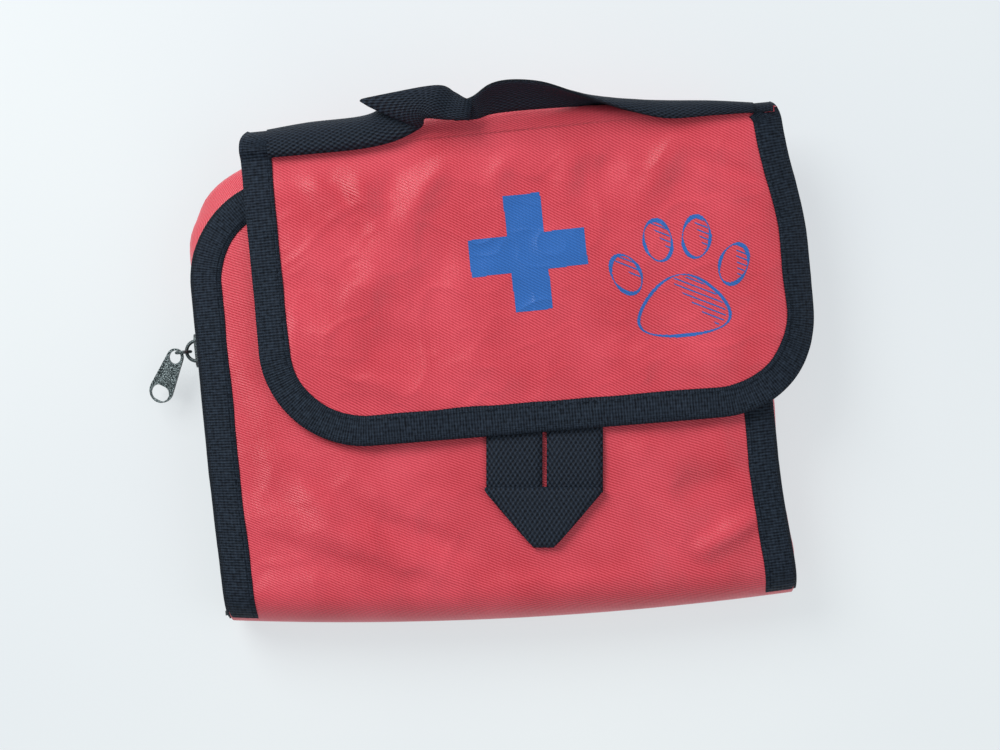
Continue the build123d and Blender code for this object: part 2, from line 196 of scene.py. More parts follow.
# ---- materials ----
class Nodes:
    """Short names for building a material's node tree."""

    def __init__(self, name):
        self.material = bpy.data.materials.new(name)
        self.material.use_nodes = True
        self.tree = self.material.node_tree
        self.shader = self.tree.nodes["Principled BSDF"]

    def link(self, a, b):
        self.tree.links.new(a, b)

    def node(self, kind, **settings):
        made = self.tree.nodes.new(kind)
        for key, value in settings.items():
            setattr(made, key, value)
        return made

    def math(self, operation, a, b=0.0, c=0.0):
        made = self.node("ShaderNodeMath", operation=operation)
        for socket, value in zip(made.inputs, (a, b, c)):
            if isinstance(value, (int, float)):
                socket.default_value = value
            else:
                self.link(value, socket)
        return made.outputs[0]

    def uv(self):
        split = self.node("ShaderNodeSeparateXYZ")
        self.link(self.node("ShaderNodeUVMap", uv_map=UV).outputs[0], split.inputs[0])
        return split.outputs[0], split.outputs[1]

    def noise(self, scale, detail=3.0, coordinates=None):
        made = self.node("ShaderNodeTexNoise")
        made.inputs["Scale"].default_value = scale
        made.inputs["Detail"].default_value = detail
        if coordinates is None:
            coordinates = self.node("ShaderNodeUVMap", uv_map=UV).outputs[0]
        self.link(coordinates, made.inputs["Vector"])
        return made.outputs["Fac"]

    def ramp(self, factor, *stops):
        made = self.node("ShaderNodeValToRGB")
        ramp = made.color_ramp
        ramp.elements[0].position, ramp.elements[0].color = stops[0][0], (*stops[0][1], 1)
        ramp.elements[1].position, ramp.elements[1].color = stops[-1][0], (*stops[-1][1], 1)
        for position, colour in stops[1:-1]:
            ramp.elements.new(position).color = (*colour, 1)
        self.link(factor, made.inputs[0])
        return made.outputs[0]

    def bump(self, height, distance, strength=1.0, below=None):
        made = self.node("ShaderNodeBump")
        made.inputs["Distance"].default_value = distance * MM
        made.inputs["Strength"].default_value = strength
        self.link(height, made.inputs["Height"])
        if below is not None:
            self.link(below, made.inputs["Normal"])
        return made.outputs[0]

    def wave(self, position, period):
        """A sine from 0 to 1 along a position in metres."""
        turns = self.math("MULTIPLY", position, 2 * math.pi / (period * MM))
        return self.math("MULTIPLY_ADD", self.math("SINE", turns), 0.5, 0.5)

    def finish(self, colour=None, normal=None, rough=0.6, **sockets):
        if colour is not None:
            self.link(colour, self.shader.inputs["Base Color"])
        if normal is not None:
            self.link(normal, self.shader.inputs["Normal"])
        self.shader.inputs["Roughness"].default_value = rough
        for key, value in sockets.items():
            self.shader.inputs[key.replace("_", " ")].default_value = value
        return self.material


def nylon(name, dark, light, pitch=1.1):
    """Coated nylon with fine ribs. The ribs run across the first UV direction. The colour mixes random tone
    in broad patches with the ribs painted lighter and pinker, a painted highlight; the ribs are bumps too.
    """
    m = Nodes(name)
    u, v = m.uv()
    drift = m.math("MULTIPLY", m.noise(90), 0.9 * MM)
    ribs = m.wave(m.math("ADD", v, drift), pitch)
    dashes = m.wave(m.math("ADD", u, m.math("MULTIPLY", v, 0.6)), pitch * 1.6)
    weave_and_highlight = m.math("MULTIPLY_ADD", dashes, 0.12, m.math("MULTIPLY", ribs, 0.88))
    patches = m.noise(28, 2.0)
    # The ribs' share of this colour is a painted highlight on each rib; the patches are random tone.
    shade = m.math("MULTIPLY_ADD", patches, 0.52, m.math("MULTIPLY", weave_and_highlight, 0.66))
    colour = m.ramp(shade, (0.06, dark), (0.95, light))
    normal = m.bump(weave_and_highlight, 0.2, 0.8, m.bump(m.noise(160, 3.0), 0.3, 0.4))
    return m.finish(colour, normal, 0.38, Sheen_Weight=0.1, Sheen_Roughness=0.4, Specular_IOR_Level=0.4)


def grosgrain(name, dark, light):
    """Ribbed tape: fine ribs straight across it. Its colour is lighter on the ribs, a painted highlight,
    with a fine speckle that is partly fibre tone and partly painted glints.
    """
    m = Nodes(name)
    u, v = m.uv()
    ribs = m.wave(m.math("ADD", u, m.math("MULTIPLY", m.noise(250), 0.35 * MM)), 1.25)
    threads = m.wave(v, 0.9)
    weave_and_highlight = m.math("MULTIPLY_ADD", threads, 0.3, m.math("MULTIPLY", ribs, 0.7))
    speckle_and_glint = m.noise(750, 2.0)
    # Colour: the speckle is partly fibre tone and partly painted glints; the ribs' share is a painted
    # highlight.
    shade = m.math("MULTIPLY_ADD", speckle_and_glint, 0.85, m.math("MULTIPLY", weave_and_highlight, 0.4))
    colour = m.ramp(shade, (0.38, dark), (0.92, light))
    return m.finish(colour, m.bump(m.math("ADD", weave_and_highlight, speckle_and_glint), 0.3, 1.0), 0.7, Specular_IOR_Level=0.16)


def webbing(name, dark, light):
    """Coarse webbing: staggered rows of raised yarn. The raised yarn is painted lighter, a painted
    highlight, and a fine speckle is partly fibre tone and partly painted glints.
    """
    m = Nodes(name)
    u, v = m.uv()
    wobble = m.math("MULTIPLY", m.noise(300), 0.3 * MM)
    along = m.math("SINE", m.math("MULTIPLY", m.math("ADD", u, wobble), 2 * math.pi / (3.2 * MM)))
    across = m.math("SINE", m.math("MULTIPLY", m.math("ADD", v, wobble), 2 * math.pi / (2.1 * MM)))
    yarn_and_highlight = m.math("MULTIPLY_ADD", m.math("MULTIPLY", along, across), 0.5, 0.5)
    speckle_and_glint = m.noise(900, 2.0)
    # Colour: the raised yarn is painted lighter as a highlight; the speckle is partly fibre tone and partly
    # painted glints.
    shade = m.math("MULTIPLY_ADD", speckle_and_glint, 0.6, m.math("MULTIPLY", yarn_and_highlight, 0.55))
    colour = m.ramp(shade, (0.3, dark), (0.95, light))
    height = m.math("MULTIPLY_ADD", speckle_and_glint, 0.4, yarn_and_highlight)
    return m.finish(colour, m.bump(height, 0.6, 1.0), 0.66, Specular_IOR_Level=0.2)


def plain(name, dark, light, rough, grain=400, depth=0.05, **sockets):
    """A surface with fine grain, for the smaller things."""
    m = Nodes(name)
    coordinates = m.node("ShaderNodeTexCoord").outputs["Object"]
    fine = m.noise(grain, 4.0, coordinates)
    colour = m.ramp(m.noise(60, 3.0, coordinates), (0.3, dark), (0.7, light))
    return m.finish(colour, m.bump(fine, depth, 0.8), rough, **sockets)


def grained_metal(name, dark, light):
    """Dark metal with the speckled face of a cast puller."""
    m = Nodes(name)
    coordinates = m.node("ShaderNodeTexCoord").outputs["Object"]
    grain = m.noise(1500, 2.0, coordinates)
    colour = m.ramp(grain, (0.44, dark), (0.62, light))
    return m.finish(colour, m.bump(grain, 0.25, 1.0), 0.35, Metallic=0.8)


# Each colour pair runs dark to light; the light end is partly random tone and partly the painted highlight
# on ribs, raised yarn and glint speckle.
RED = nylon("red_nylon", (0.39, 0.004, 0.010), (0.86, 0.104, 0.148))
INSIDE = nylon("grey_lining", (0.10, 0.11, 0.12), (0.22, 0.23, 0.25), 0.8)
BINDING = grosgrain("binding_tape", (0.001, 0.003, 0.007), (0.026, 0.040, 0.062))
WEBBING = webbing("black_webbing", (0.001, 0.002, 0.005), (0.028, 0.043, 0.068))
PRINT = nylon("blue_print", (0.010, 0.090, 0.320), (0.036, 0.170, 0.560))
THREAD = plain("black_thread", (0.004, 0.007, 0.012), (0.012, 0.018, 0.028), 0.8, Specular_IOR_Level=0.1)
HOOK = plain("hook_and_loop", (0.008, 0.008, 0.01), (0.03, 0.03, 0.035), 0.95, 900, 0.5)
METAL = plain("dark_metal", (0.045, 0.060, 0.064), (0.13, 0.16, 0.165), 0.36, 1700, 0.3, Metallic=0.85)
CAST = grained_metal("cast_metal", (0.030, 0.042, 0.045), (0.26, 0.32, 0.33))
STEEL = plain("steel", (0.55, 0.55, 0.56), (0.72, 0.72, 0.73), 0.25, 700, 0.01, Metallic=1.0)
GAUZE = plain("white_gauze", (0.78, 0.77, 0.73), (0.92, 0.91, 0.88), 0.9, 1200, 0.35)
CREPE = plain("blue_bandage", (0.05, 0.15, 0.38), (0.12, 0.28, 0.60), 0.9, 900, 0.4)
PAPER = plain("white_paper", (0.74, 0.74, 0.73), (0.88, 0.88, 0.86), 0.75, 500, 0.12)
SACHET = plain("sachet_foil", (0.62, 0.66, 0.70), (0.85, 0.87, 0.90), 0.3, 350, 0.2, Metallic=0.6)
FOIL = plain("rescue_foil", (0.62, 0.46, 0.14), (0.88, 0.72, 0.36), 0.2, 180, 0.6, Metallic=0.95)
GLOVE = plain("glove_rubber", (0.09, 0.22, 0.45), (0.15, 0.32, 0.58), 0.5, 600, 0.1)
PLASTER = plain("beige_plaster", (0.62, 0.42, 0.28), (0.78, 0.57, 0.42), 0.75, 800, 0.1)
CARD = plain("card", (0.42, 0.31, 0.20), (0.58, 0.45, 0.31), 0.85, 500, 0.1)
TAPE_WHITE = plain("white_tape", (0.76, 0.74, 0.69), (0.90, 0.88, 0.82), 0.8, 900, 0.15)
COIL = plain("zip_coil", (0.012, 0.016, 0.02), (0.04, 0.05, 0.055), 0.35)

RED_CLOTH = dict(slot="red_nylon", material=RED)
TAPE = dict(slot="binding_tape", material=BINDING)
STRAP = dict(slot="black_webbing", material=WEBBING)


# ---- plan shapes ----
FOLD_R = 16.0
REST_Z = 0.5
BACK_R = 5.0


def slump(x, y):
    """The soft pouch lies a little askew: its bottom edge runs down to the right."""
    side = x / RIGHT
    low = smooth((60 - y) / 170)
    drop = low * (-6.0 - 5.6 * side + 5.2 * side * side)
    if side < 0:
        pinch = 1.2 * smooth((-30 - y) / 70)
    else:
        pinch = -3.4 * smooth((y + 108) / 60) * (1 - smooth((y - 20) / 60))
    return x + pinch * abs(side), y + drop


def front_edges(y):
    """The left and right ends of the front panel at this height up the pouch."""
    left = LEFT + round_in(y - (MOUTH_Y - CORNER_LEFT), CORNER_LEFT)
    right = RIGHT - round_in(y - (MOUTH_Y - CORNER_RIGHT), CORNER_RIGHT)
    return left, right


class Ridge:
    """A long soft fold in cloth, between two points in plan."""

    def __init__(self, x0, y0, x1, y1, width, height):
        self.start = Vector((x0, y0))
        self.run = Vector((x1 - x0, y1 - y0))
        self.width = width
        self.height = height

    def at(self, x, y):
        offset = Vector((x, y)) - self.start
        t = max(0.0, min(1.0, offset.dot(self.run) / self.run.length_squared))
        away = (offset - self.run * t).length
        fade = 0.35 + 0.65 * math.sin(math.pi * t)
        return 1.25 * self.height * fade * math.exp(-(away / self.width) ** 2)


# Ends in plan, width and height of each fold; a negative one is a valley.
FLAP_RIDGES = [Ridge(*fold) for fold in (
    (-74, 94, -53, 70, 5, 1.9), (-54, 95, -42, 69, 5, 1.6), (-6, 98, -30, 66, 6, 2.0),
    (-64, 91, -46, 62, 5, -1.2), (-34, 96, -36, 74, 6, -1.3), (-80, 70, -58, 40, 8, 1.3),
    (-30, 64, -62, 22, 9, 1.4), (-10, 60, -24, 30, 9, -1.0), (20, 96, 8, 76, 5, 1.2),
    (96, 96, 74, 66, 6, 1.7), (92, 92, 126, 78, 5, 1.6), (84, 84, 128, 60, 5, 1.3),
    (70, 96, 50, 72, 7, -1.2), (104, 88, 122, 62, 5, -1.1), (46, 94, 40, 66, 6, 1.1),
    (-84, 34, -50, 4, 7, 1.5), (-66, 2, -20, -12, 6, 1.2), (-34, 10, 24, -8, 8, 1.1),
    (60, -4, 112, -8, 7, 1.2), (40, 16, 96, -2, 9, -0.8), (-60, 16, -10, 4, 8, -1.0),
)]
FRONT_RIDGES = [Ridge(*fold) for fold in (
    (-112, -14, -60, -72, 8, 2.0), (-110, -56, -20, -84, 7, 1.9), (-90, -40, -24, -62, 9, 1.4),
    (-104, -30, -60, -54, 6, -1.3), (-60, -56, -6, -80, 6, -1.4), (-100, -84, -40, -92, 6, 1.2),
    (84, -82, 114, -70, 4.5, 2.6), (64, -44, 96, -88, 7, 1.7), (78, -58, 112, -50, 6, -1.5),
    (-20, -88, 62, -90, 6, 1.5), (58, -62, 84, -92, 6, -1.3), (96, -34, 116, -62, 5, 1.6),
    (-118, 34, -100, -6, 5, 1.8), (-112, 10, -104, -26, 5, -1.2), (52, -36, 90, -46, 7, 1.2),
)]


def rumple(x, y, size, seed):
    return noise.noise(Vector((x / size, y / size, seed)))


def creases(x, y, size, seed):
    """Thin sharp ridges, as crumpled nylon keeps."""
    first = 1 - abs(rumple(x, y, size, seed)) * 2.2
    second = 1 - abs(rumple(x + y, y - 0.4 * x, size * 0.6, seed + 20)) * 2.2
    return max(0.0, first) ** 5 + 0.5 * max(0.0, second) ** 5


def front_height(x, y):
    """The middle of the front panel's cloth."""
    side = 1 - abs(x / RIGHT) ** 5
    crown = 33.6 + 3.2 * side
    folds = sum(r.at(x, y) for r in FRONT_RIDGES)
    under_flap = smooth((y + 34) / 12)
    near_tab = smooth(1 - (abs(x - 21) - 30) / 12) * smooth((y + 92) / 12)
    rough = 1.2 * rumple(x, y, 30, 3.0) + 0.4 * rumple(x, y, 12, 8.0) + 0.5 * creases(x, y, 26, 31.0)
    loose = folds + rough
    calm = max(under_flap, near_tab)
    return crown + loose * (1 - 0.8 * calm)


def cloth_height(x, y):
    """The front panel's cloth, and the bottom fold where it turns down."""
    low_y = BOTTOM + FOLD_R
    top = front_height(x, max(y, low_y))
    if y >= low_y:
        return top
    return FOLD_R + (top - FOLD_R) * math.sqrt(max(0.0, 1 - ((low_y - y) / FOLD_R) ** 2))


def flap_height(x, y):
    """The middle of the flap's cloth."""
    droop = 7.5 * max(0.0, (x - 122) / 20) ** 2
    folds = sum(r.at(x, y) for r in FLAP_RIDGES)
    rough = 1.2 * rumple(x, y, 30, 1.0) + 0.4 * rumple(x, y, 11, 5.0) + 0.5 * creases(x, y, 27, 47.0)
    to_fold = smooth((FOLD_Y - 1 - y) / 14)
    return FLAP_MID_Z + 0.5 + (folds + rough) * to_fold - 0.5 * (1 - to_fold) - droop


def flap_edge(x, y):
    """Shapes the flap's plan: its right side bows out and leans in at the top, its lower edge falls."""
    right = smooth((x - 60) / 80)
    lean = 4.5 * smooth((y - 45) / 60) - 2.6 * (1 - smooth((y - 40) / 50))
    fall = 1.8 * (x - 22) / 120 * smooth((40 - y) / 70) - 0.6
    return x - lean * right, y - fall


FOLD_MID_X = (FLAP_LOW.x + FLAP_HIGH.x) / 2
REACH_LEFT = 112.0  # how far up the flap's tape is carried on each side
REACH_RIGHT = 103.6
FLAP_R = 44.0


def flap_sides(y):
    """The left and right ends of the flap at this height up the pouch."""
    turned = round_in(FLAP_R - (y - FLAP_LOW.y), FLAP_R)
    return FLAP_LOW.x + turned, FLAP_HIGH.x - turned


def arc(cx, cy, radius, start, end, step=3.0):
    count = max(3, int(abs(end - start) * math.pi / 180 * radius / step) + 1)
    return [
        (cx + radius * math.cos(math.radians(a)), cy + radius * math.sin(math.radians(a)))
        for a in spread(start, end, count)
    ]


def even(path, step):
    """The same line with points evenly spaced along it."""
    lengths = [0.0]
    for (x0, y0), (x1, y1) in zip(path, path[1:]):
        lengths.append(lengths[-1] + math.hypot(x1 - x0, y1 - y0))
    count = max(2, int(lengths[-1] / step) + 1)
    out, n = [], 0
    for want in spread(0, lengths[-1], count):
        while n < len(lengths) - 2 and lengths[n + 1] < want:
            n += 1
        t = (want - lengths[n]) / max(1e-9, lengths[n + 1] - lengths[n])
        out.append((lerp(path[n][0], path[n + 1][0], t), lerp(path[n][1], path[n + 1][1], t)))
    return out


def flap_path():
    """The flap's edge from its top left corner, down, round and up to its top right corner."""
    left, right, low = FLAP_LOW.x, FLAP_HIGH.x, FLAP_LOW.y
    start = low + FLAP_R
    points = [(left + corner_tuck(y, REACH_LEFT), y) for y in spread(REACH_LEFT, start, 60)]
    points += arc(left + FLAP_R, start, FLAP_R, 180, 270)
    points += [(x, low) for x in spread(left + FLAP_R + 4, right - FLAP_R - 4, 24)]
    points += arc(right - FLAP_R, start, FLAP_R, 270, 360)
    points += [(right - corner_tuck(y, REACH_RIGHT), y) for y in spread(start + 4, REACH_RIGHT, 60)]
    return even([flap_edge(*p) for p in points], 1.2)


def corner_tuck(y, reach):
    """How far the tape's outer edge turns in where it goes over the handle's sewn end."""
    return 3.2 * max(0.0, 1 - (reach - y) / 9) ** 2


def tape_height(x, y):
    """The flap's edge, carried on over the handle's sewn end and down behind the fold."""
    reach = REACH_LEFT if x < FOLD_MID_X else REACH_RIGHT
    bend_y = FOLD_Y + 1.5
    over = 3.0 * smooth((y - bend_y) / 4.0)
    down = 8.0 * max(0.0, 1 - (reach - y) / 5) ** 2
    return flap_height(x, min(y, bend_y)) + over - down


def front_path():
    """The front panel's edge from its bottom left corner, up, over the mouth and down."""
    points = [(LEFT, y) for y in spread(BOTTOM + 2, MOUTH_Y - CORNER_LEFT, 20)]
    points += arc(LEFT + CORNER_LEFT, MOUTH_Y - CORNER_LEFT, CORNER_LEFT, 180, 90)
    points += [(x, MOUTH_Y) for x in spread(LEFT + CORNER_LEFT + 4, RIGHT - CORNER_RIGHT - 4, 24)]
    points += arc(RIGHT - CORNER_RIGHT, MOUTH_Y - CORNER_RIGHT, CORNER_RIGHT, 90, 0)
    points += [(RIGHT, y) for y in spread(MOUTH_Y - CORNER_RIGHT - 4, BOTTOM + 2, 24)]
    return even(points, 1.6)


# ---- bound edges ----
FOLDED = [
    (1.0, -0.5), (1.0, 0.9), (0.97, 1.25), (0.8, 1.35), (0.5, 1.4), (0.2, 1.35), (0.04, 1.1), (-0.06, 0.5),
    (-0.07, -0.3), (-0.02, -0.9), (0.15, -1.2), (0.5, -1.25), (0.97, -1.2), (1.0, -0.9),
]


def side_of(path, n):
    """The unit vector that points right of the way the path runs."""
    dx, dy = unit(*path[max(0, n - 1)], *path[min(len(path) - 1, n + 1)])
    return dy, -dx


def bound_edge(name, path, height, outward, profile, seed=0.0, warp=lambda x, y: (x, y), **kind):
    """Tape folded over a cloth edge. Profile points are (share of the width inwards, rise).

    A warp moves a point in plan last of all, to follow a slumped cloth.
    """
    rings, run = [], 0.0
    for n, (x, y) in enumerate(path):
        if n:
            run += math.hypot(x - path[n - 1][0], y - path[n - 1][1])
        nx, ny = (outward * c for c in side_of(path, n))
        wide = TAPE_W + 0.5 * noise.noise(Vector((run / 22, seed, 0)))
        puff = 0.12 * noise.noise(Vector((run / 7, seed, 4)))
        ring = []
        for k, (share, rise) in enumerate(profile):
            inset = share * wide
            px, py = x - nx * inset, y - ny * inset
            inside = max(0.0, inset)
            z = height(x - nx * inside, y - ny * inside)
            ripple = 0.14 * share * math.sin(run / 2.1 + 5 * noise.noise(Vector((run / 9, seed, 9))))
            z += rise * (1 + puff) + (ripple if rise > 0 else 0)
            ring.append((*warp(px, py), z, run, k * 2.0 if rise > 0 else -k * 2.0))
        rings.append(ring)
    return tube(name, rings, **kind)


def stitch_row(name, path, height, outward, body=None, skip=0, warp=lambda x, y: (x, y)):
    """One line of thread: a short raised stitch, a gap, and so on."""
    points, faces = [], []
    size = 0.26
    line = even(path, 0.9)
    for n in range(skip, len(line) - 4, 4):
        nx, ny = (outward * c for c in side_of(line, n + 1))
        base = len(points)
        for k in range(4):
            x, y = line[n + k]
            x, y = x - nx * STITCH_IN, y - ny * STITCH_IN
            lift = size * (0.15, 1.0, 1.0, 0.15)[k]
            z = height(x, y) + STITCH_UP
            for side, up in ((-1, 0), (-0.6, 0.9), (0.6, 0.9), (1, 0)):
                px, py = warp(x + nx * side * size, y + ny * side * size)
                points.append((px, py, z + up * lift - 0.08, n + k, side))
        faces += [tuple(i + base for i in face) for face in grid_faces(4, 4)]
    return add_mesh(name, points, faces, body=body, slot="binding_tape", material=THREAD)


def ribbon(name, stations, thick=1.5, per_span=8, across=9, **kind):
    """Webbing given by stations of three points across its width, first edge, middle and last edge."""
    flat = [tuple(c for point in station for c in point) for station in stations]
    lines = catmull(flat, per_span)
    grid = []
    for line in lines:
        b, m, a = Vector(line[0:3]), Vector(line[3:6]), Vector(line[6:9])
        row = []
        for t in spread(0, 1, across):
            row.append(b * (2 * t - 1) * (t - 1) + m * 4 * t * (1 - t) + a * t * (2 * t - 1))
        grid.append(row)
    rings, run = [], 0.0
    for r, row in enumerate(grid):
        if r:
            run += (row[across // 2] - grid[r - 1][across // 2]).length
        above, below = [], []
        for c, point in enumerate(row):
            along = grid[min(r + 1, len(grid) - 1)][c] - grid[max(r - 1, 0)][c]
            over = row[min(c + 1, across - 1)] - row[max(c - 1, 0)]
            normal = along.cross(over)
            normal = normal.normalized() if normal.length > 1e-6 else Vector((0, 0, 1))
            edge = 1 - 0.35 * (c in (0, across - 1))
            up = normal * thick / 2 * edge
            v = WEBBING_W * c / (across - 1)
            above.append((*(point + up), run, v))
            below.append((*(point - up), run, 60 - v))
        rings.append(above + below[::-1])
    return tube(name, rings, **kind)


# ---- pouch shell ----
def rotated_uv(x, y, degrees):
    a = math.radians(degrees)
    return x * math.cos(a) + y * math.sin(a), -x * math.sin(a) + y * math.cos(a)


def wrap_section(x, low_y):
    """Points down the front, round the bottom fold and along the back, for one x."""
    points = []
    for degrees in spread(90, 0, 12)[1:]:
        a = math.radians(degrees)
        top = front_height(x, low_y)
        points.append((low_y - FOLD_R * math.cos(a), FOLD_R + (top - FOLD_R) * math.sin(a)))
    for degrees in spread(0, 90, 9)[1:]:
        a = math.radians(degrees)
        y = low_y - FOLD_R + BACK_R - BACK_R * math.cos(a)
        points.append((y, FOLD_R - (FOLD_R - REST_Z) * math.sin(a)))
    return points


def back_edges(y):
    """The left and right ends of the back panel at this height up the pouch."""
    left = LEFT + round_in(y - (TOP - BACK_CORNER_LEFT), BACK_CORNER_LEFT)
    right = RIGHT - round_in(y - (TOP - CORNER_RIGHT), CORNER_RIGHT)
    return left, right


def make_wrap():
    """One cloth: the front panel, the bottom fold and the back panel."""
    low_y = BOTTOM + FOLD_R
    shares = spread(0, 1, 150)
    rows = []
    for y in spread(MOUTH_Y - 0.2, low_y, 120):
        left, right = front_edges(y)
        flat = [(lerp(left, right, share), y) for share in shares]
        rows.append([(*slump(x, y), front_height(x, y)) for x, y in flat])
    columns = [lerp(LEFT, RIGHT, share) for share in shares]
    sections = [wrap_section(x, low_y) for x in columns]
    for k in range(len(sections[0])):
        rows.append([(*slump(x, section[k][0]), section[k][1]) for x, section in zip(columns, sections)])
    for y in spread(low_y - FOLD_R + BACK_R + 2, TOP, 50):
        left, right = back_edges(y)
        rows.append([(*slump(lerp(left, right, share), y), REST_Z) for share in shares])
    mapped, run = [], 0.0
    middle = len(shares) // 2
    for n, row in enumerate(rows):
        if n:
            run += math.dist(row[middle], rows[n - 1][middle])
        mapped.append([(*p, *rotated_uv(p[0], -run, -24)) for p in row])
    surface("pouch_cloth", mapped, body="pouch", stands_for=["front_panel", "bottom_panel", "back_panel"],
            **RED_CLOTH)


def wall_heights(x, y):
    """The lowest and highest the gusset reaches at this place up the pouch."""
    bottom = REST_Z
    back_y = BOTTOM + BACK_R
    if y < back_y:
        bottom = FOLD_R - (FOLD_R - REST_Z) * math.sqrt(max(0.0, 1 - ((back_y - y) / BACK_R) ** 2))
    return bottom, cloth_height(x, y)


ZIP_POINTS = 70  # points up the gusset beside the zipper


def gusset_path(side):
    """Matched points up the gusset: (front edge, back edge, bulge). It lies flat beside the zipper."""
    edge, radius, back_radius = LEFT, CORNER_LEFT, BACK_CORNER_LEFT
    low_bulge, bulge, corner_bulge = 0.0, 2.2, 5.6
    if side > 0:
        edge, radius, back_radius = RIGHT, CORNER_RIGHT, CORNER_RIGHT
        low_bulge, bulge, corner_bulge = 2.4, 2.6, 2.6
    pairs = []
    for y in spread(BOTTOM + 0.02, ZIP_TOP, ZIP_POINTS):
        pairs.append(((edge, y), (edge, y), low_bulge * smooth((y - BOTTOM) / 22)))
    for t in spread(0, 1, 14)[1:]:
        front_y = lerp(ZIP_TOP, MOUTH_Y - radius, t)
        back_y = lerp(ZIP_TOP, TOP - back_radius, t)
        pairs.append(((edge, front_y), (edge, back_y), bulge * smooth(t * 2) if side < 0 else bulge))
    for degrees in spread(0, 90, 22)[1:]:
        a = math.radians(degrees)
        away, up = side * (math.cos(a) - 1), math.sin(a)
        front = (edge + away * radius, MOUTH_Y - radius + radius * up)
        back = (edge + away * back_radius, TOP - back_radius + back_radius * up)
        pairs.append((front, back, lerp(bulge, corner_bulge, smooth(degrees / 45))))
    return pairs


def out_of_side(side, before, after):
    """The unit vector out of the pouch's side, where its edge runs from one point to another."""
    along_x, along_y = unit(*before, *after)
    return side * abs(along_y), abs(along_x)


def gusset_strip(name, side, pairs, low_z, high_z, node):
    rows, run = [], 0.0
    for n, (front, back, bulge) in enumerate(pairs):
        before, after = pairs[max(0, n - 1)][1], pairs[min(len(pairs) - 1, n + 1)][1]
        nx, ny = out_of_side(side, before, after)
        run += math.dist(before, after) / 2
        bottom, top = wall_heights(*front)
        row = []
        for t in spread(0, 1, 14):
            z = lerp(bottom if low_z is None else low_z, top if high_z is None else high_z, t)
            z = max(bottom, min(top, z))
            share = (z - bottom) / max(1e-6, top - bottom)
            x, y = lerp(back[0], front[0], share), lerp(back[1], front[1], share)
            out = bulge * (1 + 0.5 * rumple(y, z, 15, 6.0 + side)) * math.sin(math.pi * share ** 1.5)
            row.append((*slump(x + nx * out, y + ny * out), z, *rotated_uv(run, z, -30)))
        rows.append(row)
    surface(name, rows, body="pouch", stands_for=[node], **RED_CLOTH)


def make_gussets():
    left = gusset_path(-1)
    beside_zip, above_zip = left[:ZIP_POINTS], left[ZIP_POINTS - 1:]
    front_z, rear_z = ZIP_Z + ZIP_HALF_GAP, ZIP_Z - ZIP_HALF_GAP
    gusset_strip("gusset_left_front", -1, beside_zip, front_z, None, "left_gusset_front_strip")
    gusset_strip("gusset_left_rear", -1, beside_zip, None, rear_z, "left_gusset_rear_strip")
    gusset_strip("gusset_left_upper", -1, above_zip, None, None, "left_gusset_upper")
    gusset_strip("gusset_right_cloth", 1, gusset_path(1), None, None, "right_gusset")


FRONT_PROFILE = [
    (1.0, -0.3), (1.0, 0.7), (0.97, 1.15), (0.75, 1.3), (0.45, 1.35), (0.18, 1.25), (0.02, 0.8),
    (-0.10, -0.4), (-0.14, -2.2), (-0.10, -4.2), (-0.02, -4.4), (0.02, -2.4), (0.3, -1.3), (0.9, -0.8),
]


def make_front_binding():
    path = front_path()
    bound_edge("front_binding_tape", path, cloth_height, -1, FRONT_PROFILE, seed=2.0, warp=slump,
               body="pouch", stands_for=["front_binding"], **TAPE)
    stitch_row("front_binding_stitches", path, cloth_height, -1, body="pouch", warp=slump)


def make_back_binding(name, side, node):
    """Tape round the back's edge and up the gusset, lower beside the zipper."""
    edge = [back for _, back, _ in gusset_path(side)]
    rings = []
    for n, (x, y) in enumerate(edge[6:-8]):
        if y < BOTTOM + BACK_R:
            continue
        nx, ny = out_of_side(side, (x, y), edge[n + 8])
        high = 5.8 if side < 0 and y < ZIP_TOP else 9.0
        section = [(-4.0, 0.1), (0.5, 0.1), (1.0, 1.2), (1.1, high * 0.6),
                   (0.9, high), (0.1, high), (-0.2, 1.6), (-4.0, 1.4)]
        px, py = slump(x, y)
        rings.append([
            (px + nx * out, py + ny * out, z, n * 1.9, k * 2.0) for k, (out, z) in enumerate(section)
        ])
    tube(name, rings, body="pouch", stands_for=[node], **TAPE)


# ---- lid and flap ----
LID_TOP_Z = 34.2
WEAVE_TURN = -33  # how the flap's ribs lean, in degrees
SPLIT_Y = 100.8  # above this the flap's cloth turns down over the fold, under the handle


def lid_back(x):
    """How far back the lid's fold reaches: it sags at its middle and is drawn in at its right end."""
    sag = 4.8 * math.exp(-((x - 12) / 60) ** 2)
    return LID_HIGH.y - 5.1 * smooth((x - 70) / 70), sag


def corner_y(x):
    """Where the pouch's back edge runs at its top corners."""
    left = round_in(LEFT + BACK_CORNER_LEFT - x, BACK_CORNER_LEFT)
    return TOP - left - round_in(x - (RIGHT - CORNER_RIGHT), CORNER_RIGHT)


def over_the_fold(x):
    """The flap's cloth carried on over the fold and a little way down behind it, for one x."""
    back_y, sag = lid_back(x)
    line = [
        (SPLIT_Y, FLAP_MID_Z), (lerp(SPLIT_Y, back_y, 0.45), FLAP_MID_Z + 0.25 + sag * 0.1),
        (back_y - 2.4 + sag * 0.8, 40.6), (back_y - 0.4 + sag, 38.4), (back_y + 0.5 + sag * 0.8, 35.0),
        (back_y + 0.5 + sag * 0.5, 31.5),
    ]
    return catmull(line, 5)


